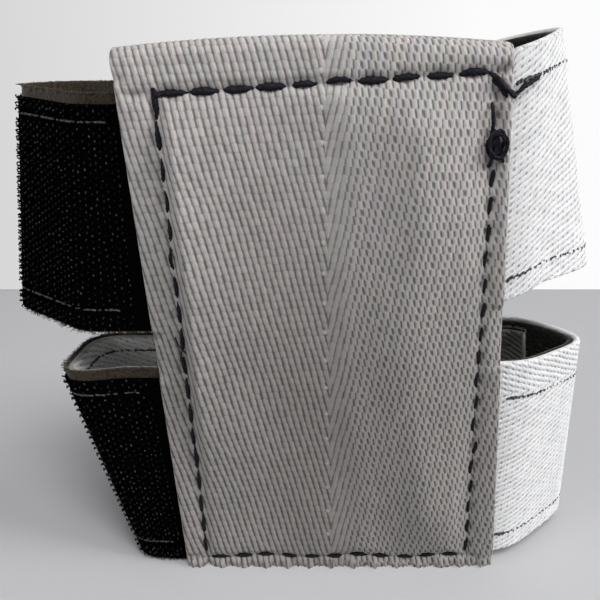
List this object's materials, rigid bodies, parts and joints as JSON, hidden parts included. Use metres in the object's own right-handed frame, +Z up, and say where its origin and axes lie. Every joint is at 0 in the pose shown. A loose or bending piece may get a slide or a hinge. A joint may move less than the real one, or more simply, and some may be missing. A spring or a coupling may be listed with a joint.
{
  "type": "wrist strap",
  "caption": "Banded fabric anti-static wrist strap: a stitched herringbone front panel, hook straps on one side and loop-lined flaps that peel open behind.",
  "frame": {"origin": "on the table, in the middle of the front panel's lower edge, in the plane of the panel's front", "axes": "+Z up, +X to the right across the front panel, +Y from the front panel to the back of the bands"},
  "size_m": [0.0922, 0.0248, 0.0815],
  "materials": {
    "panel_cloth": "matt herringbone webbing, grey",
    "dark_thread": "matt twisted thread, near black",
    "hook_strap_cloth": "matt twill webbing, grey",
    "brown_backing": "matt woven backing, dark brown",
    "hook_tape": "matt tape with moulded hooks, black",
    "loop_strap_cloth": "matt twill webbing, pale grey",
    "loop_lining": "brushed loop tape, black",
    "snap_metal": "nickel plated, polished"
  },
  "bodies": {
    "cuff_front": {"panel_webbing": "panel_cloth", "top_seam_thread": "dark_thread", "left_seam_thread": "dark_thread", "right_seam_thread": "dark_thread", "bottom_seam_thread": "dark_thread", "thread_knot": "dark_thread", "upper_hook_strap_tail": "hook_strap_cloth", "upper_loop_side_webbing": "loop_strap_cloth", "upper_loop_side_lining": "loop_lining", "upper_loop_side_stitching": "dark_thread", "lower_hook_strap_tail": "hook_strap_cloth", "lower_loop_side_webbing": "loop_strap_cloth", "lower_loop_side_lining": "loop_lining", "lower_loop_side_stitching": "dark_thread"},
    "upper_flap": {"upper_flap_webbing": "loop_strap_cloth", "upper_flap_lining": "loop_lining", "upper_flap_stitching": "dark_thread", "ground_snap_stud": "snap_metal", "ground_snap_eyelet": "snap_metal"},
    "lower_flap": {"lower_flap_webbing": "loop_strap_cloth", "lower_flap_lining": "loop_lining", "lower_flap_stitching": "dark_thread"},
    "upper_hook_strap": {"upper_hook_strap_webbing": "hook_strap_cloth", "upper_hook_strap_backing": "brown_backing", "upper_hook_tape": "hook_tape", "upper_hook_strap_stitching": "dark_thread"},
    "lower_hook_strap": {"lower_hook_strap_webbing": "hook_strap_cloth", "lower_hook_strap_backing": "brown_backing", "lower_hook_tape": "hook_tape", "lower_hook_strap_stitching": "dark_thread"}
  },
  "joints": [
    {"name": "upper_flap_peel", "type": "hinge", "parent": "cuff_front", "child": "upper_flap", "pos_m": [0.03194, 0.0149, 0.06225], "axis": [0.2163, 0.1569, -0.9636], "range_deg": [0, 120]},
    {"name": "upper_hook_swing", "type": "hinge", "parent": "cuff_front", "child": "upper_hook_strap", "pos_m": [-0.0291, 0.0031, 0.05825], "axis": [-0.0651, 0, 0.9979], "range_deg": [-4, 0]},
    {"name": "lower_flap_peel", "type": "hinge", "parent": "cuff_front", "child": "lower_flap", "pos_m": [0.03741, 0.01544, 0.0182], "axis": [0.0634, 0.1093, -0.992], "range_deg": [0, 120]},
    {"name": "lower_hook_swing", "type": "hinge", "parent": "cuff_front", "child": "lower_hook_strap", "pos_m": [-0.02643, 0.0031, 0.01725], "axis": [-0.0651, 0, 0.9979], "range_deg": [-3.5, 0]}
  ]
}
